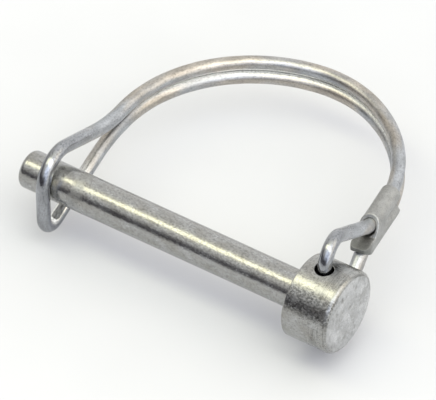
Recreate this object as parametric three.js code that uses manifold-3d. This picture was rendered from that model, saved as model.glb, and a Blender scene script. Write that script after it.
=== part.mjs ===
// Hitch pin lock: a headed steel pin with a sprung double-wire bail.
// Millimetres. The pin lies along X with the head's flat face at x = 0 and the tip at -X.
// Z is the axis of the cross hole in the head, which the bail turns on. The bow lies towards +Y.
import * as THREE from 'three';
import { mergeVertices } from 'three/addons/utils/BufferGeometryUtils.js';
import Module from 'manifold-3d';

// Pin: one cold-headed piece.
const SHANK_RADIUS = 4.75;
const SHANK_LENGTH = 78.2;        // shoulder to tip
const TIP_ROUND = 1.4;            // rounding of the tip's edge
const HEAD_RADIUS = 10.4;
const HEAD_LENGTH = 12.2;
const FACE_ROUND = 1.2;           // rounding of the flat face's edge
const SHOULDER_ROUND = 0.25;      // rounding of the shoulder's edge
const HOLE_RADIUS = 2.3;          // cross hole through the head
const HOLE_FROM_SHOULDER = 5;
const PIN_SIDES = 64;
const ROUND_STEPS = 4;            // steps in each rounded edge

// Wire: one spring wire, bent double, both ends sprung into the head's cross hole.
const WIRE_RADIUS = 1.725;
const WIRE_SIDES = 12;
const WIRE_STEP = 1.8;            // length of one facet along the wire
const STRAND_Z = 2.2;             // height of each strand's centre in the bow, above and below z = 0
const END_Z = 0.6;                // where each end stops inside the cross hole
const LEG_HEADING = 99.2;         // direction of the leg that leaves the head, degrees from +X
const LEG_LENGTH = 36.9;          // cross hole to the start of the bow
const BOW_BENDS = [[38.2, 55.1], [28.4, 35.7], [37.3, 81.3]];   // radius and degrees of the bow's three bends
const SPLIT_HEADING = 180;        // the wire is divided where it runs along -X, at the top of the bow
const SPLIT_GAP = 0.7;            // length of wire left out at the split
const NESTLE = 1.25;              // how far the lower strand comes over against the upper one in the bow
const NESTLE_WAY = [0.40, -0.64, 0.66];
const NESTLE_BY_FERRULE = [4, 30];   // it comes between these distances into the bow
const NESTLE_BY_EYE = [2, 20];

// Arms: from the cross hole, over and under the head, into the ferrule.
const ELBOW_RADIUS = 5;           // bend beside the cross hole
const EXIT_RADIUS = 5;            // bend where the strand leaves the ferrule
const UPPER_SLOPE = 32.5;         // degrees to the bow's plane
const UPPER_LEVEL_AT = 28.5;      // distance from the cross hole where the strand is level
const LOWER_SLOPE = 34;
const LOWER_LEVEL_AT = 25.9;

// Eye: the closed end of the wire, around the shank near the tip.
const EYE_REACH = 6.8;            // the eye's closed end, this far beyond the shank's axis
const EYE_LEG = 2.4;              // straight between the bow and the spread
const EYE_SPREAD = 18.6;          // how far each strand leans away from the bow's plane, degrees
const SPREAD_RADIUS = 34;
const UPPER_CORNER = 7.6;         // radii of the eye's two corners
const LOWER_CORNER = 3.6;
const EYE_TILT = 3.5;             // degrees that the eye leans, its lower corner towards the head

// Ferrule: a flattened steel sleeve crimped around both strands.
const FERRULE_RADIUS = 2.55;      // outside of each lobe
const FERRULE_BORE = 2.025;
const FERRULE_FROM = 20.6;        // distances from the cross hole, along the leg
const FERRULE_TO = 40.3;
const UPPER_MOUTH = 28.6;         // where the sleeve's top is cut away, for the upper strand to leave
const LOWER_MOUTH = 26;           // the same underneath, for the lower strand
const TONGUE_FROM = 25.4;         // the tongue between the strands runs from here to the sleeve's end
const TONGUE_TOP = 0.5;
const TONGUE_ROOT = -0.1;         // underside of the tongue at its root and at its end
const TONGUE_END = -0.4;
const LOBE_STEPS = 10;

const ZINC = 0xb9bab6;
const WIRE_ZINC = 0xc4c1ba;
const FERRULE_ZINC = 0xa3a3a1;

const manifold = await Module();
manifold.setup();

const X = new THREE.Vector3(1, 0, 0);
const Z = new THREE.Vector3(0, 0, 1);
const radians = THREE.MathUtils.degToRad;
const sin = (degrees) => Math.sin(radians(degrees));
const cos = (degrees) => Math.cos(radians(degrees));

const SHOULDER_X = -HEAD_LENGTH;
const TIP_X = SHOULDER_X - SHANK_LENGTH;
const HOLE_X = SHOULDER_X + HOLE_FROM_SHOULDER;

// A three.js geometry as a solid for a boolean operation.
function toSolid(geometry) {
  const bare = geometry.clone();
  bare.deleteAttribute('normal');
  bare.deleteAttribute('uv');
  const merged = mergeVertices(bare, 1e-4);
  return new manifold.Manifold(new manifold.Mesh({
    numProp: 3,
    vertProperties: new Float32Array(merged.attributes.position.array),
    triVerts: new Uint32Array(merged.index.array),
  }));
}

// A solid back as a three.js geometry.
function toGeometry(solid) {
  const mesh = solid.getMesh();
  const geometry = new THREE.BufferGeometry();
  geometry.setAttribute('position', new THREE.BufferAttribute(mesh.vertProperties, 3));
  geometry.setIndex(new THREE.BufferAttribute(mesh.triVerts, 1));
  geometry.computeVertexNormals();
  return geometry;
}

// Points of a quarter round, from the angle "from" to the angle "to", both in degrees.
function roundedEdge(centreX, centreY, radius, from, to) {
  const points = [];
  for (let i = 0; i <= ROUND_STEPS; i += 1) {
    const angle = from + (to - from) * i / ROUND_STEPS;
    points.push(new THREE.Vector2(centreX + radius * cos(angle), centreY + radius * sin(angle)));
  }
  return points;
}

// The pin is turned about its axis, with its profile given as (radius, distance along the axis).
function pinGeometry() {
  const profile = [
    new THREE.Vector2(0, TIP_X),
    ...roundedEdge(SHANK_RADIUS - TIP_ROUND, TIP_X + TIP_ROUND, TIP_ROUND, -90, 0),
    new THREE.Vector2(SHANK_RADIUS, SHOULDER_X),
    ...roundedEdge(HEAD_RADIUS - SHOULDER_ROUND, SHOULDER_X + SHOULDER_ROUND, SHOULDER_ROUND, -90, 0),
    ...roundedEdge(HEAD_RADIUS - FACE_ROUND, -FACE_ROUND, FACE_ROUND, 0, 90),
    new THREE.Vector2(0, 0),
  ];
  const turned = new THREE.LatheGeometry(profile, PIN_SIDES);
  turned.rotateZ(-Math.PI / 2);

  const drill = new THREE.CylinderGeometry(HOLE_RADIUS, HOLE_RADIUS, 3 * HEAD_RADIUS, PIN_SIDES / 2);
  drill.rotateX(Math.PI / 2);
  drill.translate(HOLE_X, 0, 0);
  return toGeometry(toSolid(turned).subtract(toSolid(drill)));
}

// One bend of a wire: a stretch of a circle about "axis" through the centre of the bend.
class BendCurve extends THREE.Curve {
  constructor(start, centre, axis, angle) {
    super();
    this.centre = centre;
    this.arm = start.clone().sub(centre);
    this.axis = axis;
    this.angle = angle;
  }

  getPoint(t, target = new THREE.Vector3()) {
    return target.copy(this.arm).applyAxisAngle(this.axis, this.angle * t).add(this.centre);
  }
}

// A path whose last stretch comes over sideways, between the distances "from" and "to" into that stretch.
class NestledPath extends THREE.Curve {
  constructor(path, stretch, from, to) {
    super();
    this.path = path;
    this.total = path.getLength();
    this.from = this.total - stretch + from;
    this.to = this.total - stretch + to;
    this.shift = new THREE.Vector3(...NESTLE_WAY).setLength(NESTLE);
  }

  getPoint(t, target = new THREE.Vector3()) {
    const share = THREE.MathUtils.smoothstep(t * this.total, this.from, this.to);
    return target.copy(this.path.getPoint(t)).addScaledVector(this.shift, share);
  }
}

// A wire's route, made as a wire bender makes it: feed some length, then bend about an axis.
class WireRoute {
  constructor(start, direction) {
    this.at = start.clone();
    this.direction = direction.clone();
    this.path = new THREE.CurvePath();
  }

  feed(length) {
    const end = this.at.clone().addScaledVector(this.direction, length);
    this.path.add(new THREE.LineCurve3(this.at.clone(), end));
    this.at = end;
    return this;
  }

  bend(radius, degrees, axis) {
    const turn = radians(degrees);
    const inward = axis.clone().cross(this.direction).multiplyScalar(Math.sign(turn) * radius);
    const curve = new BendCurve(this.at, this.at.clone().add(inward), axis, turn);
    this.path.add(curve);
    this.at = curve.getPoint(1);
    this.direction.applyAxisAngle(axis, turn);
    return this;
  }

  nestle(stretch, [from, to]) {
    this.path = new NestledPath(this.path, stretch, from, to);
    return this;
  }

  geometry() {
    const section = new THREE.Shape();
    for (let i = 0; i < WIRE_SIDES; i += 1) {
      const angle = 360 * (i + 0.5) / WIRE_SIDES;
      const place = [WIRE_RADIUS * cos(angle), WIRE_RADIUS * sin(angle)];
      if (i === 0) section.moveTo(...place);
      else section.lineTo(...place);
    }
    const steps = Math.round(this.path.getLength() / WIRE_STEP);
    return new THREE.ExtrudeGeometry(section, { steps, extrudePath: this.path });
  }
}

const legDirection = new THREE.Vector3(cos(LEG_HEADING), sin(LEG_HEADING), 0);
const legAcross = Z.clone().cross(legDirection);

// How much of each bow bend lies on the head's side of the split.
function bowBends() {
  let heading = LEG_HEADING;
  return BOW_BENDS.map(([radius, degrees]) => {
    const headSide = THREE.MathUtils.clamp(SPLIT_HEADING - heading, 0, degrees);
    heading += degrees;
    return { radius, headSide, eyeSide: degrees - headSide };
  });
}

// Length of wire in the bow on one side of the split. side is 'headSide' or 'eyeSide'.
function bowLength(side) {
  return bowBends().reduce((length, bend) => length + bend.radius * radians(bend[side]), 0);
}

// One strand from its end in the cross hole to the top of the bow. side is 1 above z = 0 and -1 below.
function armRoute(side, slope, levelAt) {
  const ramp = (levelAt - ELBOW_RADIUS * (1 + sin(slope)) - EXIT_RADIUS * sin(slope)) / cos(slope);
  const drop = ramp * sin(slope) + EXIT_RADIUS * (1 - cos(slope)) - ELBOW_RADIUS * cos(slope);
  const rise = STRAND_Z + drop - END_Z;
  const axis = legAcross.clone().multiplyScalar(side);
  const route = new WireRoute(new THREE.Vector3(HOLE_X, 0, side * END_Z), Z.clone().multiplyScalar(side))
    .feed(rise)
    .bend(ELBOW_RADIUS, 90 + slope, axis)
    .feed(ramp)
    .bend(EXIT_RADIUS, -slope, axis)
    .feed(LEG_LENGTH - levelAt);
  for (const { radius, headSide } of bowBends()) {
    if (headSide > 0) route.bend(radius, headSide, Z);
  }
  return route;
}

// A strand's straight run between its spread and the eye's corner, and the height of the corner's far end.
function spreadRun(cornerRadius, legLength) {
  const bent = EYE_LEG + SPREAD_RADIUS * sin(EYE_SPREAD) + cornerRadius * (1 + sin(EYE_SPREAD));
  const length = (legLength - bent) / cos(EYE_SPREAD);
  const height = STRAND_Z + SPREAD_RADIUS * (1 - cos(EYE_SPREAD)) + length * sin(EYE_SPREAD)
    - cornerRadius * cos(EYE_SPREAD);
  return { length, height };
}

// The rest of the wire in one piece: down from the bow, around the shank, and back up.
function eyeRoute(bowTop) {
  const bends = bowBends().filter(({ eyeSide }) => eyeSide > 0);
  const gap = THREE.MathUtils.radToDeg(SPLIT_GAP / bends[0].radius);
  const gapRoute = new WireRoute(bowTop, X.clone().negate()).bend(bends[0].radius, gap, Z);
  bends[0].eyeSide -= gap;
  const route = new WireRoute(gapRoute.at, gapRoute.direction);
  for (const { radius, eyeSide } of bends) route.bend(radius, eyeSide, Z);
  const across = Z.clone().cross(route.direction).applyAxisAngle(route.direction, radians(EYE_TILT));
  const legLength = (route.at.y + EYE_REACH) / -route.direction.y;
  const upper = spreadRun(UPPER_CORNER, legLength);
  const lower = spreadRun(LOWER_CORNER, legLength);
  route.feed(EYE_LEG)
    .bend(SPREAD_RADIUS, -EYE_SPREAD, across)
    .feed(upper.length)
    .bend(UPPER_CORNER, 90 + EYE_SPREAD, across)
    .feed(upper.height + lower.height)
    .bend(LOWER_CORNER, 90 + EYE_SPREAD, across)
    .feed(lower.length)
    .bend(SPREAD_RADIUS, -EYE_SPREAD, across)
    .feed(EYE_LEG);
  for (const { radius, eyeSide } of bends.reverse()) route.bend(radius, -eyeSide, Z);
  return route;
}

// A prism along the leg, from one distance to another, of a section given across the leg and up.
function alongLeg(section, from, to) {
  const prism = new THREE.ExtrudeGeometry(section, {
    depth: to - from, bevelEnabled: false, curveSegments: LOBE_STEPS,
  });
  prism.translate(0, 0, from);
  const basis = new THREE.Matrix4().makeBasis(legAcross, Z, legDirection);
  prism.applyMatrix4(basis.setPosition(HOLE_X, 0, 0));
  return prism;
}

// A section of two lobes with straight flanks, around both strands.
function twoLobes(radius) {
  const section = new THREE.Shape();
  section.absarc(0, STRAND_Z, radius, 0, Math.PI, false);
  section.absarc(0, -STRAND_Z, radius, Math.PI, 2 * Math.PI, false);
  section.closePath();
  return section;
}

// A prism across the leg, of an outline given along the leg and up.
function acrossLeg(outline, width) {
  const prism = new THREE.ExtrudeGeometry(new THREE.Shape(outline), { depth: width, bevelEnabled: false });
  prism.translate(0, 0, -width / 2);
  const basis = new THREE.Matrix4().makeBasis(legDirection, Z, legAcross.clone().negate());
  prism.applyMatrix4(basis.setPosition(HOLE_X, 0, 0));
  return prism;
}

function ferruleGeometry() {
  const beyond = 2;
  const start = FERRULE_FROM - beyond;
  const end = FERRULE_TO + beyond;
  const topZ = STRAND_Z + FERRULE_RADIUS;
  const sleeve = toSolid(alongLeg(twoLobes(FERRULE_RADIUS), FERRULE_FROM, FERRULE_TO));
  const bore = toSolid(alongLeg(twoLobes(FERRULE_BORE), TONGUE_FROM, end));
  const upperMouth = toSolid(acrossLeg([
    new THREE.Vector2(start, TONGUE_TOP),
    new THREE.Vector2(TONGUE_FROM, TONGUE_TOP),
    new THREE.Vector2(UPPER_MOUTH, topZ),
    new THREE.Vector2(UPPER_MOUTH, topZ + beyond),
    new THREE.Vector2(start, topZ + beyond),
  ], 3 * FERRULE_RADIUS));
  const lowerMouth = toSolid(acrossLeg([
    new THREE.Vector2(start, -topZ - beyond),
    new THREE.Vector2(LOWER_MOUTH, -topZ - beyond),
    new THREE.Vector2(LOWER_MOUTH, -topZ),
    new THREE.Vector2(FERRULE_FROM, TONGUE_END),
    new THREE.Vector2(start, TONGUE_END),
  ], 3 * FERRULE_RADIUS));
  const underTongue = toSolid(acrossLeg([
    new THREE.Vector2(start, -topZ - beyond),
    new THREE.Vector2(TONGUE_FROM, -topZ - beyond),
    new THREE.Vector2(TONGUE_FROM, TONGUE_ROOT),
    new THREE.Vector2(FERRULE_FROM, TONGUE_END),
    new THREE.Vector2(start, TONGUE_END),
  ], 2 * FERRULE_BORE));
  return toGeometry([upperMouth, lowerMouth, bore, underTongue].reduce(
    (solid, cut) => solid.subtract(cut), sleeve,
  ));
}

function piece(name, geometry, color, roughness) {
  const mesh = new THREE.Mesh(geometry, new THREE.MeshStandardMaterial({ color, roughness, metalness: 1 }));
  mesh.name = name;
  return mesh;
}

const upperArm = armRoute(1, UPPER_SLOPE, UPPER_LEVEL_AT);
const lowerArm = armRoute(-1, LOWER_SLOPE, LOWER_LEVEL_AT).nestle(bowLength('headSide'), NESTLE_BY_FERRULE);
const eye = eyeRoute(upperArm.at).nestle(bowLength('eyeSide') - SPLIT_GAP, NESTLE_BY_EYE);

const hitchPinLock = new THREE.Group();
hitchPinLock.add(
  piece('pin', pinGeometry(), ZINC, 0.42),
  piece('wire_upper_arm', upperArm.geometry(), WIRE_ZINC, 0.3),
  piece('wire_lower_arm', lowerArm.geometry(), WIRE_ZINC, 0.3),
  piece('wire_eye', eye.geometry(), WIRE_ZINC, 0.3),
  piece('ferrule', ferruleGeometry(), FERRULE_ZINC, 0.5),
);

export default hitchPinLock;
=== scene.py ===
"""Looks of the hitch pin lock: a zinc-plated pin, one continuous spring wire and a crimped ferrule.

Lengths in this script are in millimetres, in the CAD model's frame, until an object is made. The pin lies
along X with the head's flat face at x = 0. Z is the cross hole's axis, and the bow lies towards +Y.
"""
import math

import bmesh
import bpy
import numpy as np
from mathutils import Matrix, Vector, noise


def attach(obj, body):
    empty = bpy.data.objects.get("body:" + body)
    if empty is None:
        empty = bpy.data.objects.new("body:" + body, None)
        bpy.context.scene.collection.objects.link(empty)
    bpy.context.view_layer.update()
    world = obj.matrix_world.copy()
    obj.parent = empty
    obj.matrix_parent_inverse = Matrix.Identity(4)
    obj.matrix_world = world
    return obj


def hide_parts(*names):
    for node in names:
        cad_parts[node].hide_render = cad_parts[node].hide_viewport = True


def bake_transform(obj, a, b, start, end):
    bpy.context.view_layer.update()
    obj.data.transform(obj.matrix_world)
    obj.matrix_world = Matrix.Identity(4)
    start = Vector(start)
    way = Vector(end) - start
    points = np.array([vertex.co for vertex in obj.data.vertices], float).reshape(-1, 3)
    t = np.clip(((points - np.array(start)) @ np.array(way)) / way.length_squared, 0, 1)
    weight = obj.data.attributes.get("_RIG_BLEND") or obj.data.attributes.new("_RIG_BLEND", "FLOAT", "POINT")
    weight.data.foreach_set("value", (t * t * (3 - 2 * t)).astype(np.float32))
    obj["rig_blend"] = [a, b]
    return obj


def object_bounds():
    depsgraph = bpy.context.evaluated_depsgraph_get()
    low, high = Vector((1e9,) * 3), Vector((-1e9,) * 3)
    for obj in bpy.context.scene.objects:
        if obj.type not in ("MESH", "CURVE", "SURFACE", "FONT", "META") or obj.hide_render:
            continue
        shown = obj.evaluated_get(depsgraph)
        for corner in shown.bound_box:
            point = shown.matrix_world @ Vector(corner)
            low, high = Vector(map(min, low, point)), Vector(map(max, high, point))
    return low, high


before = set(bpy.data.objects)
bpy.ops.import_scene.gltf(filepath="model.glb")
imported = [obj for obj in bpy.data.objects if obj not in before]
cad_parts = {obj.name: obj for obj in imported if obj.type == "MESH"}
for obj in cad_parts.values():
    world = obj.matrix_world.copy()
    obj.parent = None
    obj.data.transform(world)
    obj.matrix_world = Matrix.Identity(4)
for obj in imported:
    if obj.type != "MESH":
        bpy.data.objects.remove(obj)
cad_low, cad_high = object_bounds()

MM = 0.001

# Pin
SHANK_RADIUS = 4.75
SHANK_LENGTH = 78.2
TIP_ROUND = 1.4
HEAD_RADIUS = 10.4
HEAD_LENGTH = 12.2
FACE_ROUND = 1.3
SHOULDER_ROUND = 0.3
HOLE_RADIUS = 2.3
HOLE_EDGE_ROUND = 0.22
HOLE_FROM_SHOULDER = 5
SHOULDER_X = -HEAD_LENGTH
TIP_X = SHOULDER_X - SHANK_LENGTH
HOLE_X = SHOULDER_X + HOLE_FROM_SHOULDER
TURNED_WAVE = 0.012               # how far the turned surface wanders from round
FACE_INSET = 0.09                 # depth of the end face below the head's full length, before it is dented
FACE_RIM = 0.8                    # how far inside the head's radius the dents fade out, and over what width
FACE_FADE = 1.4

# Pin's mesh
PIN_SIDES = 192
PIN_STEP = 0.5
TIP_STEP = 0.4
FACE_STEP = 0.3
CENTRE_RADIUS = 0.3               # radius of the one flat polygon in the middle of each end
PATCH_CELLS = 10                  # half the width of the square patch around each mouth of the hole
MOUTH_RINGS = 7                   # rings of faces around a mouth, on its rounded edge and down half the wall
EDGE_RINGS = 4
WALL_RINGS = 13
WELD = 0.002                      # points this close together become one

# Wire
WIRE_RADIUS = 1.725
WIRE_SIDES = 40
WIRE_STEP = 0.45
WIRE_EASE = 5                     # steps over which one bend eases into the next
UNEVEN = 0.03                     # how far the drawn surface wanders from round
STRAND_Z = 2.2                    # height of the two strands above and below the pin's axis
END_Z = 0.6
END_ROUND = 0.3
LEG_HEADING = 99.2
LEG_LENGTH = 36.9
BOW_BENDS = [(38.2, 55.1), (28.4, 35.7), (37.3, 81.3)]        # (radius, degrees)
NESTLE = 1.5                      # how far the lower strand comes over, until it bears on the upper one
NESTLE_WAY = Vector((0.40, -0.64, 0.66)).normalized()
NESTLE_BY_FERRULE = (4, 30)       # distances from the bow's two ends over which it comes
NESTLE_BY_EYE = (2, 20)
ELBOW_RADIUS = 5
EXIT_RADIUS = 5
UPPER_SLOPE = 32.5
UPPER_LEVEL_AT = 28.5
LOWER_SLOPE = 34
LOWER_LEVEL_AT = 25.9
EYE_REACH = 6.8
EYE_LEG = 2.4
EYE_SPREAD = 18.6
SPREAD_RADIUS = 34
UPPER_CORNER = 7.6
LOWER_CORNER = 3.6
EYE_TILT = 3.5

# Wire's wear, and painted light where it faces the other strand or the shank. Each pair is where a change
# begins and where it is complete.
WORN_TO = (6, 18)                 # distance from the pin's axis up to which the wire is rubbed smooth
TOGETHER_FROM = (24, 40)          # distance from the pin's axis from which the strands shelter each other
EYE_FROM = (60, 66)               # distance from the head's face from which the wire belongs to the eye
FACING_STRAND = (0.55, 0.92)      # cosine of the angle between the surface's direction and the other strand's
FACING_SHANK = (0.3, 0.8)         # the same for the shank's direction

# Ferrule. Lengths along it start at the cross hole.
FERRULE_RADIUS = 2.5
FERRULE_BORE = 1.8
FERRULE_SIDES = 48
FERRULE_FROM = 20.6
FERRULE_TO = 40.3
UPPER_MOUTH = 28.6
LOWER_MOUTH = 26
TONGUE_FROM = 25.4
TONGUE_TOP = 0.5
TONGUE_UNDER = -0.25              # the tongue's underside slopes from this height down to that of its nose
NOSE_UNDER = -0.9
NOSE_BACK = 1                     # length of the nose's level underside
NOSE_DROP = 0.45                  # how far the top of the nose curves down, and over what length
NOSE_LENGTH = 4.2
NOSE_ROUND = 2                    # length over which the nose narrows, and the share of its width at the end
NOSE_WIDTH = 0.45
CRIMP_DEPTH = 0.42                # share of the half width that the crimp presses in, between the lobes
CRIMP_BEND = 1.5                  # how sharply the crimp turns in
CRIMP_ALONG = (28, 35)            # lengths over which it sets in
RIM_FLARE = 0.16                  # how far the edge of the upper mouth turns out, and over what length
RIM_LENGTH = 0.8
RIM_UP = (2.4, 4.2)               # heights, and distances from the strand's middle, over which that sets in
RIM_OUT = (FERRULE_BORE + 0.2, FERRULE_RADIUS - 0.1)
FERRULE_DENTS = [(0.05, 0.45), (0.02, 1.3)]                   # (height, how closely they lie)
FERRULE_VOXEL = 0.13

# Camera
CAMERA_AIM = Vector((-37.43, 0.65, 15.89))
CAMERA_AZIMUTH = 31.69
CAMERA_ELEVATION = 41
CAMERA_ROLL = 2.36
CAMERA_DISTANCE = 2109
VIEW_WIDTH = 101.75               # width of the picture at the aim
SENSOR_WIDTH = 36
CAMERA_CLIP = (0.1, 20)           # in metres

# Marks in the zinc and painted shade, along X unless said. Each pair is where a change begins and where it is
# complete.
FACE_FROM = (-0.22, -0.04)
RINGS_FROM = (-8.0, -3.0)
RUB_FROM, RUB_TO = (-75.0, -73.2), (-72.2, -70.0)
# Where the head's painted dark reflection lies
DARK_BAND_FROM_X, DARK_BAND_FROM_Y = (-12.4, -11.4), (-3.6, -5.6)
DARK_BAND_FROM_Z, DARK_BAND_TO_Z = (3.4, 4.6), (8.4, 10.2)
# Where the ferrule's nose is rougher and darkened with painted shade, along Y
ROUGH_AND_SHADED_TO_Y = (23.0, 26.0)

# Zinc tones
PIN_DARK, PIN_PALE = (0.325, 0.320, 0.305), (0.400, 0.405, 0.405)
FACE_DARK, FACE_PALE = (0.50, 0.505, 0.515), (0.62, 0.625, 0.635)
WIRE_WARM, WIRE_COOL = (0.450, 0.415, 0.375), (0.415, 0.430, 0.455)
# The second wire tone is painted light, for where the wire faces the other strand or the shank.
WIRE_WORN, WIRE_PAINTED_LIGHT = (0.315, 0.325, 0.345), (0.84, 0.84, 0.83)
FERRULE_DARK, FERRULE_PALE = (0.34, 0.34, 0.333), (0.42, 0.42, 0.415)
# The last ferrule tone is painted shade on its nose.
FERRULE_NOSE_SHADE = (0.66, 0.67, 0.66)

# Studio
FLOOR_RADIUS = 450
FLOOR_SIDES = 96
PAPER_DARK, PAPER_PALE = (0.57, 0.575, 0.605), (0.59, 0.595, 0.625)
PAPER_ROUGHNESS = 0.9
FRONT_SHADE = 0.72                # how dark the paper gets towards the front, and the Y over which it changes
FRONT_SHADE_Y = (-260, -80)
SKY = (1.20, 1.20, 1.18)
# Parts of the surroundings, as (direction, cosine where it starts, cosine where it is full, colour)
LEFT = ((-0.97, -0.10, 0.2), 0.2, 0.95, (0.85, 0.84, 0.80))
GLOWS = [
    ((0.50, -0.56, 0.66), 0.62, 0.99, (0.75, 0.90, 1.25)),
    ((0.76, 0.05, 0.64), 0.72, 0.99, (0.80, 0.68, 0.45)),
    ((0.0, -0.25, 0.97), 0.80, 1.00, (0.42, 0.40, 0.20)),
]
FRONT = ((-0.30, -0.95, 0), 0.15, 0.80, (0.13, 0.125, 0.14))
HIGH = (0.20, 0.70)               # cosines from straight up over which the front's dark side ends
PANEL_WAY = Vector((0, -0.31, 0.9)).normalized()
PANEL_DISTANCE = 700
PANEL_SIZE = (1500, 230)
PANEL_WATTS = 2.6
PANEL_COLOUR = (1.0, 0.98, 0.68)


def sin(degrees):
    return math.sin(math.radians(degrees))


def cos(degrees):
    return math.cos(math.radians(degrees))


def turned(vector, axis, degrees):
    return Matrix.Rotation(math.radians(degrees), 3, axis) @ vector


def smooth_step(value, low, high):
    """Eases from 0 to 1 as a value goes from low to high."""
    share = min(1.0, max(0.0, (value - low) / (high - low)))
    return share * share * (3 - 2 * share)


def quarter_round(share):
    """Rises steeply from 0 and levels out at 1, as a quarter of a circle does."""
    share = min(1.0, max(0.0, share))
    return math.sqrt(1 - (1 - share) ** 2)


# ---------------------------------------------------------------- meshes

def make_object(name, vertices, faces):
    """A smooth-shaded mesh object of vertices in millimetres."""
    mesh = bpy.data.meshes.new(name)
    mesh.from_pydata([tuple(MM * c for c in v) for v in vertices], [], faces)
    mesh.polygons.foreach_set("use_smooth", [True] * len(mesh.polygons))
    mesh.update()
    made = bpy.data.objects.new(name, mesh)
    bpy.context.scene.collection.objects.link(made)
    return made


def close_up(made):
    """Welds points that lie together and turns every face outwards."""
    bm = bmesh.new()
    bm.from_mesh(made.data)
    bmesh.ops.remove_doubles(bm, verts=bm.verts, dist=WELD * MM)
    bmesh.ops.recalc_face_normals(bm, faces=bm.faces)
    bm.to_mesh(made.data)
    bm.free()


# ---------------------------------------------------------------- pin

def arc(centre_x, centre_r, radius, start, end, steps):
    """Profile points (x, r) of an arc. Angles in degrees from +X towards +R."""
    angles = np.linspace(start, end, steps + 1)
    return [(centre_x + radius * cos(a), centre_r + radius * sin(a)) for a in angles]


def line(start, end, step):
    """Profile points between two (x, r) points, without either end."""
    count = max(1, round(math.dist(start, end) / step))
    return [tuple(np.add(start, np.subtract(end, start) * i / count)) for i in range(1, count)]


def pin_profile():
    """Profile (x, r) from the tip to the head's face, and the first row of the patches around the hole."""
    cell = 2 * math.pi * HEAD_RADIUS / PIN_SIDES
    half = PATCH_CELLS * cell
    tip = arc(TIP_X + TIP_ROUND, SHANK_RADIUS - TIP_ROUND, TIP_ROUND, 180, 90, 10)
    shoulder = arc(SHOULDER_X + SHOULDER_ROUND, HEAD_RADIUS - SHOULDER_ROUND, SHOULDER_ROUND, 180, 90, 6)
    face = arc(-FACE_ROUND, HEAD_RADIUS - FACE_ROUND, FACE_ROUND, 90, 0, 14)
    root = (SHOULDER_X, SHANK_RADIUS)
    before = [
        (TIP_X, CENTRE_RADIUS), *line((TIP_X, CENTRE_RADIUS), tip[0], TIP_STEP), *tip,
        *line(tip[-1], root, PIN_STEP), root, *line(root, shoulder[0], PIN_STEP), *shoulder,
        *line(shoulder[-1], (HOLE_X - half, HEAD_RADIUS), cell),
    ]
    patch = [(HOLE_X - half + i * cell, HEAD_RADIUS) for i in range(2 * PATCH_CELLS + 1)]
    centre = (0, CENTRE_RADIUS)
    after = [*line(patch[-1], face[0], cell), *face, *line(face[-1], centre, FACE_STEP), centre]
    return before + patch + after, len(before)


def dent(x, y, z):
    """Height of the rough end face at a point on it: broad dents, torn patches and a few deeper marks."""
    place = Vector((x, y, z))
    broad = noise.noise(place * 0.28 + Vector((3.1, 0, 0)))
    torn = noise.fractal(place * 0.75 + Vector((0, 7.3, 0)), 0.8, 2.1, 4)
    mark = noise.noise(place * 0.5 + Vector((0, 0, 11.7)))
    return 0.10 * broad + 0.05 * torn - 0.35 * max(0.0, mark - 0.36)


def pin_vertex(x, radius, index):
    """A point on the turned surface. Index 0 is at +Z, over the hole's upper mouth."""
    angle = 2 * math.pi * index / PIN_SIDES
    y, z = math.sin(angle), math.cos(angle)
    wave = noise.noise(Vector((x * 0.11, y * 1.1 + 5, z * 1.1))) * TURNED_WAVE
    if x > -FACE_ROUND * 0.6:
        share = min(1.0, max(0.0, (HEAD_RADIUS - FACE_RIM - radius) / FACE_FADE + 0.5))
        x = min(0.0, x - FACE_INSET + share * dent(0, radius * y, radius * z))
    return x, (radius + wave) * y, (radius + wave) * z


def hole_mouth(vertices, faces, rows, side):
    """Fills one square patch with the mouth of the hole, its rounded edge and half of the hole's wall."""
    count = 8 * PATCH_CELLS
    centre = 0 if side > 0 else PIN_SIDES // 2
    last = 2 * PATCH_CELLS
    border = [(i, 0) for i in range(last)] + [(last, i) for i in range(last)]
    border += [(last - i, last) for i in range(last)] + [(0, last - i) for i in range(last)]
    ring = [rows[row][(centre + column - PATCH_CELLS) % PIN_SIDES] for row, column in border]
    corner = math.copysign(135, vertices[ring[0]][1])
    angles = [corner - math.copysign(360 * i / count, corner) for i in range(count)]
    outer = [Vector(vertices[i]) for i in ring]

    def add_ring(points):
        nonlocal ring
        first = len(vertices)
        vertices.extend(points)
        new = list(range(first, first + count))
        faces.extend((ring[i], ring[(i + 1) % count], new[(i + 1) % count], new[i]) for i in range(count))
        ring = new

    def surface(x, y, depth=0.0):
        return x, y, side * (math.sqrt(HEAD_RADIUS ** 2 - y ** 2) - depth)

    mouth = HOLE_RADIUS + HOLE_EDGE_ROUND
    for share in np.linspace(0, 1, MOUTH_RINGS + 1)[1:]:
        points = []
        for place, angle in zip(outer, angles):
            x = place.x + share * (HOLE_X + mouth * cos(angle) - place.x)
            y = place.y + share * (mouth * sin(angle) - place.y)
            points.append(surface(x, y))
        add_ring(points)
    for tilt in np.linspace(0, 90, EDGE_RINGS + 1)[1:]:
        radius = mouth - HOLE_EDGE_ROUND * sin(tilt)
        depth = HOLE_EDGE_ROUND * (1 - cos(tilt))
        add_ring([surface(HOLE_X + radius * cos(a), radius * sin(a), depth) for a in angles])
    edge = [surface(HOLE_X + HOLE_RADIUS * cos(a), HOLE_RADIUS * sin(a), HOLE_EDGE_ROUND) for a in angles]
    for height in np.linspace(1, 0, WALL_RINGS + 1)[1:]:
        add_ring([(x, y, z * height) for x, y, z in edge])


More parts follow.
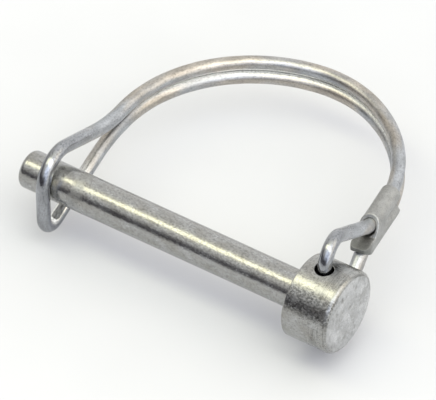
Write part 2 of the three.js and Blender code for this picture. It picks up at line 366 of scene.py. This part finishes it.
def make_pin():
    """A turned body. The square patches left open around the hole's two mouths are filled by hole_mouth."""
    profile, patch_row = pin_profile()
    vertices, faces, rows = [], [], []
    for x, radius in profile:
        rows.append(range(len(vertices), len(vertices) + PIN_SIDES))
        vertices.extend(pin_vertex(x, radius, i) for i in range(PIN_SIDES))
    patch_rows = range(patch_row, patch_row + 2 * PATCH_CELLS)
    for j in range(len(rows) - 1):
        for i in range(PIN_SIDES):
            from_hole = min(abs(i + 0.5 - centre) for centre in (0, PIN_SIDES / 2, PIN_SIDES))
            if j in patch_rows and from_hole < PATCH_CELLS:
                continue
            k = (i + 1) % PIN_SIDES
            faces.append((rows[j][i], rows[j][k], rows[j + 1][k], rows[j + 1][i]))
    faces.append(tuple(rows[0]))
    faces.append(tuple(rows[-1]))
    corner_rows = rows[patch_row:patch_row + 2 * PATCH_CELLS + 1]
    for side in (1, -1):
        hole_mouth(vertices, faces, corner_rows, side)
    made = make_object("pin_body", vertices, faces)
    close_up(made)
    return made


# ---------------------------------------------------------------- wire

LEG = Vector((cos(LEG_HEADING), sin(LEG_HEADING), 0))
UP = Vector((0, 0, 1))
ACROSS = UP.cross(LEG)


class Route:
    """A wire's route, made as a wire bender makes it: feed some length, then bend about an axis."""

    def __init__(self, start, direction):
        self.at = start.copy()
        self.direction = direction.copy()
        self.points = [start.copy()]

    def feed(self, length):
        start = self.at.copy()
        count = max(1, math.ceil(length / WIRE_STEP))
        self.points += [start + self.direction * length * i / count for i in range(1, count + 1)]
        self.at = self.points[-1].copy()
        return self

    def bend(self, radius, degrees, axis):
        centre = self.at + axis.cross(self.direction) * math.copysign(radius, degrees)
        arm = self.at - centre
        count = max(2, math.ceil(math.radians(abs(degrees)) * radius / WIRE_STEP))
        self.points += [centre + turned(arm, axis, degrees * i / count) for i in range(1, count + 1)]
        self.at = self.points[-1].copy()
        self.direction = turned(self.direction, axis, degrees)
        return self


def arm_route(side, slope, level_at):
    """One strand from its end in the cross hole to the bow. side is 1 above z = 0 and -1 below."""
    ramp = (level_at - ELBOW_RADIUS * (1 + sin(slope)) - EXIT_RADIUS * sin(slope)) / cos(slope)
    drop = ramp * sin(slope) + EXIT_RADIUS * (1 - cos(slope)) - ELBOW_RADIUS * cos(slope)
    axis = ACROSS * side
    route = Route(Vector((HOLE_X, 0, side * END_Z)), UP * side)
    route.feed(STRAND_Z + drop - END_Z)
    route.bend(ELBOW_RADIUS, 90 + slope, axis)
    route.feed(ramp)
    route.bend(EXIT_RADIUS, -slope, axis)
    return route.feed(LEG_LENGTH - level_at)


def spread_run(corner_radius, leg_length):
    """Length of a strand's straight run in the eye, and the height of the far end of the corner after it."""
    bent = EYE_LEG + SPREAD_RADIUS * sin(EYE_SPREAD) + corner_radius * (1 + sin(EYE_SPREAD))
    length = (leg_length - bent) / cos(EYE_SPREAD)
    height = STRAND_Z + SPREAD_RADIUS * (1 - cos(EYE_SPREAD)) + length * sin(EYE_SPREAD)
    return length, height - corner_radius * cos(EYE_SPREAD)


def nestle(points, bow_start):
    """Brings the lower strand over against the upper one in the bow."""
    steps = [(b - a).length for a, b in zip(points[bow_start:], points[bow_start + 1:])]
    into, left = 0.0, sum(steps)
    for i, step in enumerate(steps, bow_start + 1):
        into += step
        left -= step
        share = min(smooth_step(into, *NESTLE_BY_FERRULE), smooth_step(left, *NESTLE_BY_EYE))
        points[i] += NESTLE_WAY * NESTLE * share


def whole_wire():
    """Points along the wire, from its upper end through the bow, around the eye and back to its lower end."""
    route = arm_route(1, UPPER_SLOPE, UPPER_LEVEL_AT)
    for radius, degrees in BOW_BENDS:
        route.bend(radius, degrees, UP)
    across = turned(UP.cross(route.direction), route.direction, EYE_TILT)
    leg_length = (route.at.y + EYE_REACH) / -route.direction.y
    upper_length, upper_height = spread_run(UPPER_CORNER, leg_length)
    lower_length, lower_height = spread_run(LOWER_CORNER, leg_length)
    bow_end = route.at.copy()
    route.feed(EYE_LEG)
    route.bend(SPREAD_RADIUS, -EYE_SPREAD, across)
    route.feed(upper_length)
    route.bend(UPPER_CORNER, 90 + EYE_SPREAD, across)
    route.feed(upper_height + lower_height)
    route.bend(LOWER_CORNER, 90 + EYE_SPREAD, across)
    leg_start = len(route.points)
    route.feed(lower_length)
    route.bend(SPREAD_RADIUS, -EYE_SPREAD, across)
    route.feed(EYE_LEG)
    # The tilted loop comes back beside its start. The lower leg takes up that small offset.
    offset = Vector((bow_end.x, bow_end.y, -STRAND_Z)) - route.at
    leg_points = len(route.points) - leg_start
    for i in range(leg_points):
        share = (i + 1) / leg_points
        route.points[leg_start + i] += offset * share * share * (3 - 2 * share)
    lower = arm_route(-1, LOWER_SLOPE, LOWER_LEVEL_AT)
    bow_start = len(lower.points) - 1
    for radius, degrees in BOW_BENDS:
        lower.bend(radius, degrees, UP)
    nestle(lower.points, bow_start)
    return route.points + lower.points[-2::-1]


def evenly(points, step):
    """Points at even distances along a polyline, with its bends eased into each other."""
    line_points = np.array(points, float)
    lengths = np.concatenate([[0], np.cumsum(np.linalg.norm(np.diff(line_points, axis=0), axis=1))])
    keep = np.concatenate([[True], np.diff(lengths) > 1e-6])
    line_points, lengths = line_points[keep], lengths[keep]
    along = np.linspace(0, lengths[-1], round(lengths[-1] / step) + 1)
    even = np.stack([np.interp(along, lengths, line_points[:, k]) for k in range(3)], 1)
    window = np.hanning(WIRE_EASE + 2)[1:-1]
    window /= window.sum()
    padded = np.concatenate([[even[0]] * (WIRE_EASE // 2), even, [even[-1]] * (WIRE_EASE // 2)])
    eased = np.stack([np.convolve(padded[:, k], window, "valid") for k in range(3)], 1)
    eased[:WIRE_EASE], eased[-WIRE_EASE:] = even[:WIRE_EASE], even[-WIRE_EASE:]
    return eased


def painted_light_share(index, count, out, centre):
    """How far a point on the wire faces the other strand in the bow, or the shank in the eye, from 0 to 1:
    where painted light brightens the wire against the shade between the parts. The first half of the wire is
    the upper strand."""
    to_lower = (NESTLE_WAY * NESTLE - UP * 2 * STRAND_Z).normalized()
    facing = out.dot(to_lower) if index < count / 2 else -out.dot(to_lower)
    in_bow = smooth_step(facing, *FACING_STRAND) * smooth_step(centre[1], *TOGETHER_FROM)
    to_shank = Vector((0, -centre[1], -centre[2])).normalized()
    in_eye = smooth_step(-centre[0], *EYE_FROM) * (1 - smooth_step(centre[1], *WORN_TO))
    return max(in_bow, in_eye * smooth_step(out.dot(to_shank), *FACING_SHANK))


def make_wire():
    """One round sweep. Its points carry their place on the straight wire, their wear and their share of
    painted light.
    """
    path = evenly(whole_wire(), WIRE_STEP)
    tangents = np.gradient(path, axis=0)
    tangents /= np.linalg.norm(tangents, axis=1)[:, None]
    side = np.array(ACROSS, float)
    vertices, place, wear, painted_light_shares, faces = [], [], [], [], []
    along = 0.0
    for i, (centre, tangent) in enumerate(zip(path, tangents)):
        side = side - tangent * (side @ tangent)
        side /= np.linalg.norm(side)
        up = np.cross(tangent, side)
        if i:
            along += np.linalg.norm(centre - path[i - 1])
        from_end = min(i, len(path) - 1 - i) * WIRE_STEP
        inset = max(0.0, END_ROUND - from_end)
        radius = WIRE_RADIUS - (END_ROUND - math.sqrt(max(0.0, END_ROUND ** 2 - inset ** 2)))
        for k in range(WIRE_SIDES):
            angle = 2 * math.pi * k / WIRE_SIDES
            out = side * math.cos(angle) + up * math.sin(angle)
            uneven = UNEVEN * noise.noise(Vector((along * 0.3, math.cos(angle), math.sin(angle))))
            vertices.append(centre + out * (radius + uneven))
            wear.append(1 - smooth_step(centre[1], *WORN_TO))
            # Painted light: how far this point faces the other strand or the shank, against the shade there
            painted_light_shares.append(painted_light_share(i, len(path), Vector(out), centre))
            place.append((along, WIRE_RADIUS * math.cos(angle), WIRE_RADIUS * math.sin(angle)))
    for i in range(len(path) - 1):
        for k in range(WIRE_SIDES):
            m = (k + 1) % WIRE_SIDES
            a, b = i * WIRE_SIDES, (i + 1) * WIRE_SIDES
            faces.append((a + k, a + m, b + m, b + k))
    faces.append(tuple(range(WIRE_SIDES)))
    faces.append(tuple(range((len(path) - 1) * WIRE_SIDES, len(path) * WIRE_SIDES)))
    made = make_object("spring_wire", vertices, faces)
    attributes = made.data.attributes
    flat_place = np.array(place, np.float32).ravel()
    attributes.new("wire_place", "FLOAT_VECTOR", "POINT").data.foreach_set("vector", flat_place)
    attributes.new("wire_wear", "FLOAT", "POINT").data.foreach_set("value", wear)
    # The share of painted light, against the shade between the parts
    attributes.new("wire_painted_light", "FLOAT", "POINT").data.foreach_set("value", painted_light_shares)
    close_up(made)
    return made


# ---------------------------------------------------------------- ferrule

def leg_point(along, across, up):
    """A point measured from the cross hole, along the straight leg that the ferrule sits on."""
    return Vector((HOLE_X, 0, 0)) + LEG * along + ACROSS * across + UP * up


def prism(name, outline, start, end, place):
    """A closed prism: an outline's points, at start and at end, put in the frame by place(u, v, depth)."""
    count = len(outline)
    vertices = [place(u, v, start) for u, v in outline] + [place(u, v, end) for u, v in outline]
    faces = [tuple(range(count))[::-1], tuple(range(count, 2 * count))]
    faces += [(i, (i + 1) % count, count + (i + 1) % count, count + i) for i in range(count)]
    made = make_object(name, vertices, faces)
    close_up(made)
    return made


def two_lobes(radius):
    """Section of the sleeve: two round lobes with straight flanks between them."""
    angles = np.linspace(0, 180, FERRULE_SIDES // 2 + 1)
    upper = [(radius * cos(a), STRAND_Z + radius * sin(a)) for a in angles]
    return upper + [(-u, -v) for u, v in upper]


def round_bore(centre_z):
    angles = np.linspace(0, 360, FERRULE_SIDES, endpoint=False)
    return [(FERRULE_BORE * cos(a), centre_z + FERRULE_BORE * sin(a)) for a in angles]


def modified(made, kind, **settings):
    """Adds a modifier and applies it to the mesh."""
    modifier = made.modifiers.new(kind.lower(), kind)
    for key, value in settings.items():
        setattr(modifier, key, value)
    evaluated = made.evaluated_get(bpy.context.evaluated_depsgraph_get())
    mesh = bpy.data.meshes.new_from_object(evaluated)
    made.modifiers.clear()
    made.data = mesh


def cut(made, tool):
    modified(made, "BOOLEAN", operation="DIFFERENCE", object=tool, solver="EXACT")
    bpy.data.objects.remove(tool)


def pressed(place):
    """How far the press moves a point of the sleeve. The place is measured from the cross hole."""
    along, across, up = place.dot(LEG), place.dot(ACROSS), place.z

    # The crimp between the lobes, and the sides of the nose
    between = max(0.0, 1 - (up / STRAND_Z) ** 2)
    crimp = CRIMP_DEPTH * between ** CRIMP_BEND * smooth_step(along, *CRIMP_ALONG)
    narrowed = (1 - NOSE_WIDTH) * (1 - quarter_round((along - FERRULE_FROM) / NOSE_ROUND))
    inwards = ACROSS * (-across * max(crimp, narrowed))

    # The top of the nose
    nose = 1 - quarter_round((along - FERRULE_FROM) / NOSE_LENGTH)
    above = (up - NOSE_UNDER) / (TONGUE_TOP - NOSE_UNDER)
    down = UP * (-NOSE_DROP * nose * min(1.0, max(0.0, above)))

    # The outside of the upper mouth's edge, and dents all over
    mouth_slope = (UPPER_MOUTH - TONGUE_FROM) / (STRAND_Z + FERRULE_RADIUS - TONGUE_TOP)
    from_mouth = along - (TONGUE_FROM + mouth_slope * (up - TONGUE_TOP))
    from_strand = UP * (up - STRAND_Z) + ACROSS * across
    outside = smooth_step(from_strand.length, *RIM_OUT)
    flare = RIM_FLARE * math.exp(-(from_mouth / RIM_LENGTH) ** 2) * smooth_step(up, *RIM_UP) * outside
    dents = sum(height * noise.noise(place * density) for height, density in FERRULE_DENTS)
    return inwards + down + from_strand.normalized() * (flare + dents)


def make_ferrule():
    """A two-lobed sleeve with its mouths, bores and tongue cut out, then pressed."""
    def lengthwise(u, v, depth):
        return leg_point(depth, u, v)

    def crosswise(u, v, depth):
        return leg_point(u, depth, v)

    top = STRAND_Z + FERRULE_RADIUS
    beyond = 2
    start, end = FERRULE_FROM - beyond, FERRULE_TO + beyond
    wide = 2 * FERRULE_RADIUS
    lowest = -top - beyond
    made = prism("ferrule_sleeve", two_lobes(FERRULE_RADIUS), FERRULE_FROM, FERRULE_TO, lengthwise)
    upper_mouth = [
        (start, TONGUE_TOP), (TONGUE_FROM, TONGUE_TOP), (UPPER_MOUTH, top), (UPPER_MOUTH, top + beyond),
        (start, top + beyond),
    ]
    lower_mouth = [
        (start, lowest), (LOWER_MOUTH, lowest), (LOWER_MOUTH, -top), (FERRULE_FROM, NOSE_UNDER),
        (start, NOSE_UNDER),
    ]
    under_tongue = [
        (start, lowest), (TONGUE_FROM, lowest), (TONGUE_FROM, TONGUE_UNDER),
        (FERRULE_FROM + NOSE_BACK, NOSE_UNDER), (start, NOSE_UNDER),
    ]
    cut(made, prism("upper_mouth", upper_mouth, -wide, wide, crosswise))
    cut(made, prism("lower_mouth", lower_mouth, -wide, wide, crosswise))
    cut(made, prism("upper_bore", round_bore(STRAND_Z), TONGUE_FROM, end, lengthwise))
    cut(made, prism("lower_bore", round_bore(-STRAND_Z), TONGUE_FROM, end, lengthwise))
    cut(made, prism("under_tongue", under_tongue, -FERRULE_BORE, FERRULE_BORE, crosswise))
    modified(made, "REMESH", mode="VOXEL", voxel_size=FERRULE_VOXEL * MM, use_smooth_shade=True)
    modified(made, "SMOOTH", factor=0.5, iterations=4)
    for vertex in made.data.vertices:
        vertex.co += pressed(vertex.co / MM - Vector((HOLE_X, 0, 0))) * MM
    made.data.update()
    return made


# ---------------------------------------------------------------- materials

class Nodes:
    """Short words for building the node tree of a material or a world."""

    def __init__(self, owner):
        self.owner = owner
        owner.use_nodes = True
        self.tree = owner.node_tree

    def add(self, kind, **settings):
        node = self.tree.nodes.new(kind)
        for key, value in settings.items():
            setattr(node, key, value)
        return node

    def link(self, source, target):
        self.tree.links.new(source, target)

    def fill(self, socket, value):
        """Links a socket to another, or gives it a number or a colour."""
        if isinstance(value, tuple):
            socket.default_value = (*value, 1)
        elif isinstance(value, (int, float)):
            socket.default_value = value
        else:
            self.link(value, socket)

    # Coordinates

    def place(self):
        """The object's own coordinates, in millimetres."""
        return self.scaled(self.add("ShaderNodeTexCoord").outputs["Object"], 1 / MM)

    def attribute(self, name, output):
        return self.add("ShaderNodeAttribute", attribute_name=name).outputs[output]

    def scaled(self, vector, scale):
        """A vector socket times a number, or times one number for each axis."""
        node = self.add("ShaderNodeVectorMath", operation="MULTIPLY")
        self.link(vector, node.inputs[0])
        node.inputs[1].default_value = scale if isinstance(scale, tuple) else (scale,) * 3
        return node.outputs[0]

    def parted(self, vector, axis):
        """One coordinate of a vector socket."""
        node = self.add("ShaderNodeSeparateXYZ")
        self.link(vector, node.inputs[0])
        return node.outputs[axis]

    def warped(self, vector, amount):
        """A vector socket pushed about by noise, so that what is drawn with it loses its regular shape."""
        noise_node = self.add("ShaderNodeTexNoise")
        self.link(vector, noise_node.inputs["Vector"])
        noise_node.inputs["Scale"].default_value = 1.0
        add = self.add("ShaderNodeVectorMath", operation="ADD")
        self.link(vector, add.inputs[0])
        self.link(self.scaled(noise_node.outputs["Color"], amount), add.inputs[1])
        return add.outputs[0]

    # Patterns and numbers

    def noise(self, vector, scale, detail, roughness=0.55):
        node = self.add("ShaderNodeTexNoise")
        self.link(vector, node.inputs["Vector"])
        node.inputs["Scale"].default_value = scale
        node.inputs["Detail"].default_value = detail
        node.inputs["Roughness"].default_value = roughness
        return node.outputs["Fac"]

    def cells(self, vector, scale):
        """Distance from the middles of scattered cells."""
        node = self.add("ShaderNodeTexVoronoi")
        self.link(vector, node.inputs["Vector"])
        node.inputs["Scale"].default_value = scale
        return node.outputs["Distance"]

    def ranged(self, value, low, high, out_low=0.0, out_high=1.0):
        """Eases from out_low to out_high as a value goes from low to high."""
        node = self.add("ShaderNodeMapRange", interpolation_type="SMOOTHSTEP")
        self.link(value, node.inputs["Value"])
        for name, number in zip(("From Min", "From Max", "To Min", "To Max"), (low, high, out_low, out_high)):
            node.inputs[name].default_value = number
        return node.outputs["Result"]

    def math(self, operation, a, b):
        node = self.add("ShaderNodeMath", operation=operation)
        self.fill(node.inputs[0], a)
        self.fill(node.inputs[1], b)
        return node.outputs[0]

    def times(self, first, *others):
        """The product of sockets and numbers."""
        for other in others:
            first = self.math("MULTIPLY", first, other)
        return first

    def summed(self, base, *parts):
        """A number plus the parts, each given as (socket, weight)."""
        for socket, weight in parts:
            base = self.math("ADD", base, self.times(socket, weight))
        return base

    # Colours and relief

    def ramp(self, value, *stops):
        """Greys at positions: (position, grey), or colours: (position, (r, g, b))."""
        node = self.add("ShaderNodeValToRGB")
        self.link(value, node.inputs["Fac"])
        elements = node.color_ramp.elements
        while len(elements) < len(stops):
            elements.new(0.5)
        for element, (position, tone) in zip(elements, stops):
            element.position = position
            element.color = (*tone, 1) if isinstance(tone, tuple) else (tone, tone, tone, 1)
        return node.outputs["Color"]

    def mix(self, kind, factor, a, b):
        node = self.add("ShaderNodeMix", data_type="RGBA", blend_type=kind)
        for socket, value in zip((node.inputs[0], node.inputs[6], node.inputs[7]), (factor, a, b)):
            self.fill(socket, value)
        return node.outputs[2]

    def toned(self, value, low, high, dark, pale):
        """Goes from a dark tone to a pale one as a value goes from low to high."""
        return self.mix("MIX", self.ramp(value, (low, 0.0), (high, 1.0)), dark, pale)

    def shaded(self, colour, amount, value, *stops):
        """A colour times the greys of a ramp, by an amount from 0 to 1."""
        return self.mix("MULTIPLY", amount, colour, self.ramp(value, *stops))

    def relief(self, *layers):
        """Bumps on top of each other, each given as (height socket, full height in millimetres)."""
        normal = None
        for height, distance in layers:
            node = self.add("ShaderNodeBump")
            node.inputs["Strength"].default_value = 1.0
            node.inputs["Distance"].default_value = distance * MM
            self.link(height, node.inputs["Height"])
            if normal is not None:
                self.link(normal, node.inputs["Normal"])
            normal = node.outputs["Normal"]
        return normal

    def metal(self, colour, roughness, normal):
        """Ends a metal's tree, and returns the material."""
        shader = self.tree.nodes["Principled BSDF"]
        shader.inputs["Metallic"].default_value = 1.0
        self.link(colour, shader.inputs["Base Color"])
        self.link(roughness, shader.inputs["Roughness"])
        self.link(normal, shader.inputs["Normal"])
        return self.owner


def pin_zinc():
    """Bright zinc on a turned and headed blank: flecks over soft blotches, pits, and a rough end face."""
    n = Nodes(bpy.data.materials.new("pin_zinc"))
    place = n.place()
    x = n.parted(place, "X")
    y = n.parted(place, "Y")
    flecks = n.noise(n.scaled(place, (0.7, 1.0, 1.0)), 2.2, 5, 0.68)
    blotch = n.noise(n.scaled(place, (0.55, 1.0, 1.0)), 0.42, 4, 0.62)
    crystals = n.cells(place, 1.8)
    drawn = n.noise(n.scaled(place, (0.12, 1.0, 1.0)), 2.4, 3, 0.6)
    pits = n.ramp(n.cells(n.warped(place, 0.6), 0.8), (0.03, 1.0), (0.13, 0.0))
    pits = n.times(pits, n.ramp(n.noise(place, 0.33, 2), (0.50, 0.0), (0.60, 1.0)))

    # The end face, with torn lines across it
    on_face = n.ranged(x, *FACE_FROM)
    torn = n.noise(n.warped(place, 0.5), 0.38, 4, 0.6)
    torn = n.ramp(torn, (0.485, 0.0), (0.50, 1.0), (0.515, 0.0))
    torn = n.times(torn, n.ramp(n.noise(place, 0.22, 2), (0.45, 0.0), (0.60, 1.0)))

    # The dull ring where the eye rubs on the shank
    wavy = n.parted(n.warped(n.scaled(place, (1.0, 0.5, 0.5)), 3.0), "X")
    rubbed = n.times(n.ranged(wavy, *RUB_FROM), n.ranged(wavy, *RUB_TO, 1.0, 0.0))

    # The tool's rings around the head, in patches by the face
    rings = n.noise(n.scaled(place, (3.4, 0.12, 0.12)), 1.0, 4, 0.7)
    ringed = n.times(n.ranged(x, *RINGS_FROM), n.ranged(n.noise(place, 0.35, 3), 0.36, 0.54))

    # Painted dark reflection: a darker, mottled patch on the head's side, away from the bow, deepening the
    # head's dark reflected band. It is a little rougher too.
    height = n.parted(n.warped(place, 2.4), "Z")
    dark_band_height = n.times(n.ranged(height, *DARK_BAND_FROM_Z), n.ranged(height, *DARK_BAND_TO_Z, 1.0, 0.0))
    rougher_and_painted_dark = n.times(dark_band_height, n.ranged(y, *DARK_BAND_FROM_Y), n.ranged(x, *DARK_BAND_FROM_X))

    colour = n.toned(blotch, 0.36, 0.66, PIN_DARK, PIN_PALE)
    colour = n.shaded(colour, 0.55, flecks, (0.36, 0.45), (0.50, 0.95), (0.62, 1.15))
    colour = n.shaded(colour, 0.6, pits, (0.0, 1.0), (1.0, 0.35))
    colour = n.shaded(colour, n.times(ringed, 0.7), rings, (0.38, 0.45), (0.55, 1.1))
    # Painted dark reflection on the head's side
    colour = n.shaded(colour, rougher_and_painted_dark, flecks, (0.40, 0.50), (0.52, 0.72), (0.62, 1.05))
    face = n.toned(blotch, 0.38, 0.62, FACE_DARK, FACE_PALE)
    face = n.shaded(face, 0.5, flecks, (0.36, 0.50), (0.47, 0.95), (0.62, 1.10))
    face = n.shaded(face, 0.75, torn, (0.0, 1.0), (1.0, 0.45))
    colour = n.mix("MIX", on_face, colour, face)
    roughness = n.summed(
        0.0, (flecks, 0.18), (blotch, 0.26), (on_face, 0.30), (rubbed, 0.24), (rougher_and_painted_dark, 0.04), (ringed, 0.10),
    )
    normal = n.relief((blotch, 0.055), (drawn, 0.006), (crystals, 0.010), (flecks, 0.011), (pits, -0.05))
    return n.metal(colour, roughness, normal)


def wire_zinc():
    """Soft zinc with lines along the wire, rubbed smooth near the pin, and paler with painted light where it
    faces the other strand or the shank.
    """
    n = Nodes(bpy.data.materials.new("wire_zinc"))
    place = n.attribute("wire_place", "Vector")
    worn = n.attribute("wire_wear", "Fac")
    # Painted light: paler zinc against the shade where the wire faces the other strand or the shank
    painted_light = n.attribute("wire_painted_light", "Fac")
    lines = n.noise(n.scaled(place, (0.05, 1.0, 1.0)), 2.6, 3, 0.6)
    blotch = n.noise(n.scaled(place, (0.35, 1.0, 1.0)), 0.55, 4, 0.6)
    flecks = n.noise(n.scaled(place, (0.7, 1.0, 1.0)), 2.4, 4, 0.65)
    tint = n.noise(n.scaled(place, (0.10, 0.4, 0.4)), 0.5, 2)

    colour = n.toned(tint, 0.40, 0.58, WIRE_WARM, WIRE_COOL)
    colour = n.mix("MIX", worn, colour, WIRE_WORN)
    colour = n.shaded(colour, 0.8, blotch, (0.36, 0.75), (0.66, 1.2))
    # Painted light: paler where the wire faces the other strand or the shank
    colour = n.mix("MIX", painted_light, colour, WIRE_PAINTED_LIGHT)
    colour = n.shaded(colour, 0.7, flecks, (0.34, 0.50), (0.48, 0.95), (0.66, 1.15))
    roughness = n.summed(0.10, (lines, 0.18), (flecks, 0.20), (blotch, 0.16), (worn, -0.20))
    normal = n.relief((blotch, 0.060), (lines, 0.010), (flecks, 0.012))
    return n.metal(colour, roughness, normal)


def ferrule_zinc():
    """Satin zinc on pressed sheet steel, rougher on the nose, and darkened there with painted shade."""
    n = Nodes(bpy.data.materials.new("ferrule_zinc"))
    place = n.place()
    flecks = n.noise(place, 2.4, 4, 0.65)
    blotch = n.noise(place, 0.45, 3, 0.6)
    scuffs = n.noise(n.scaled(place, (1.0, 0.16, 0.5)), 2.0, 3, 0.6)
    from_pin = n.math("ADD", n.parted(place, "Y"), n.times(blotch, 2.0))
    # The nose: rougher, and darkened with painted shade
    rough_and_painted_shade = n.ranged(from_pin, *ROUGH_AND_SHADED_TO_Y, 1.0, 0.0)

    colour = n.toned(blotch, 0.36, 0.66, FERRULE_DARK, FERRULE_PALE)
    colour = n.shaded(colour, 0.6, flecks, (0.34, 0.6), (0.50, 0.95), (0.66, 1.1))
    # Painted shade on the nose
    colour = n.mix("MULTIPLY", rough_and_painted_shade, colour, FERRULE_NOSE_SHADE)
    roughness = n.summed(0.30, (flecks, 0.24), (rough_and_painted_shade, 0.2))
    normal = n.relief((blotch, 0.10), (scuffs, 0.02), (flecks, 0.02))
    return n.metal(colour, roughness, normal)


# ---------------------------------------------------------------- studio

def put(made, x_axis, y_axis, z_axis, at):
    """Puts an object in the scene, turned to these axes, at a point in millimetres."""
    turn = Matrix((x_axis, y_axis, z_axis)).transposed().to_4x4()
    made.matrix_world = Matrix.Translation(at * MM) @ turn
    bpy.context.scene.collection.objects.link(made)


def make_camera():
    data = bpy.data.cameras.new("camera")
    data.sensor_width = SENSOR_WIDTH
    data.lens = SENSOR_WIDTH * CAMERA_DISTANCE / VIEW_WIDTH
    data.clip_start, data.clip_end = CAMERA_CLIP
    back = Vector((
        sin(CAMERA_AZIMUTH) * cos(CAMERA_ELEVATION),
        -cos(CAMERA_AZIMUTH) * cos(CAMERA_ELEVATION),
        sin(CAMERA_ELEVATION),
    ))
    level = Vector((cos(CAMERA_AZIMUTH), sin(CAMERA_AZIMUTH), 0))
    right = turned(level, back, CAMERA_ROLL)
    camera = bpy.data.objects.new("camera", data)
    put(camera, right, back.cross(right), back, CAMERA_AIM + back * CAMERA_DISTANCE)
    bpy.context.scene.camera = camera


def make_floor(height):
    """A round sheet of pale paper, a little darker towards the front."""
    angles = np.linspace(0, 360, FLOOR_SIDES, endpoint=False)
    rim = [(FLOOR_RADIUS * cos(a), FLOOR_RADIUS * sin(a), height) for a in angles]
    floor = make_object("studio_floor", rim, [tuple(range(FLOOR_SIDES))])
    n = Nodes(bpy.data.materials.new("studio_floor"))
    place = n.place()
    paper = n.ramp(n.noise(place, 0.02, 2), (0.3, PAPER_DARK), (0.7, PAPER_PALE))
    in_front = n.ranged(n.parted(place, "Y"), *FRONT_SHADE_Y, FRONT_SHADE, 1.0)
    shader = n.tree.nodes["Principled BSDF"]
    shader.inputs["Roughness"].default_value = PAPER_ROUGHNESS
    n.link(n.mix("MULTIPLY", 1.0, paper, in_front), shader.inputs["Base Color"])
    floor.data.materials.append(n.owner)


def make_panel():
    """One long, soft light overhead, with its long side along X."""
    data = bpy.data.lights.new("overhead", "AREA")
    data.shape = "RECTANGLE"
    data.size, data.size_y = (MM * side for side in PANEL_SIZE)
    data.energy = PANEL_WATTS
    data.color = PANEL_COLOUR
    along = Vector((1, 0, 0))
    light = bpy.data.objects.new("overhead", data)
    put(light, along, PANEL_WAY.cross(along), PANEL_WAY, CAMERA_AIM + PANEL_WAY * PANEL_DISTANCE)


def make_world():
    """A pale studio, open overhead. It glows on the right, cool in front and warm beside, and is darker on
    the left. Low in front it is dark."""
    world = bpy.data.worlds.new("studio")
    n = Nodes(world)
    direction = n.add("ShaderNodeTexCoord").outputs["Generated"]

    def towards(aim, low, high, out_low=0.0, out_high=1.0):
        """Eases from out_low to out_high as a direction turns towards aim. low and high are cosines."""
        node = n.add("ShaderNodeVectorMath", operation="DOT_PRODUCT")
        n.link(direction, node.inputs[0])
        node.inputs[1].default_value = aim
        return n.ranged(node.outputs["Value"], low, high, out_low, out_high)

    tone = n.mix("MIX", towards(*LEFT[:3]), SKY, LEFT[3])
    for *glow, colour in GLOWS:
        tone = n.mix("ADD", towards(*glow), tone, colour)
    low_front = n.times(towards(UP, *HIGH, 1.0, 0.0), towards(*FRONT[:3]))
    tone = n.mix("MIX", low_front, tone, FRONT[3])
    n.link(tone, n.tree.nodes["Background"].inputs["Color"])
    bpy.context.scene.world = world


# ---------------------------------------------------------------- the object

pin = make_pin()
pin.data.materials.append(pin_zinc())
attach(pin, "pin")
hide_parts("pin")

wire = make_wire()
wire.data.materials.append(wire_zinc())
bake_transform(wire, "bail", "bail_loop", start=(-0.020, 0, 0), end=(-0.078, 0, 0))
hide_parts("wire_upper_arm", "wire_lower_arm", "wire_eye")

ferrule = make_ferrule()
ferrule.data.materials.append(ferrule_zinc())
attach(ferrule, "bail")
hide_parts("ferrule")

make_camera()
make_floor(cad_low.z / MM)
make_world()
make_panel()

bpy.context.scene.view_settings.view_transform = "Standard"
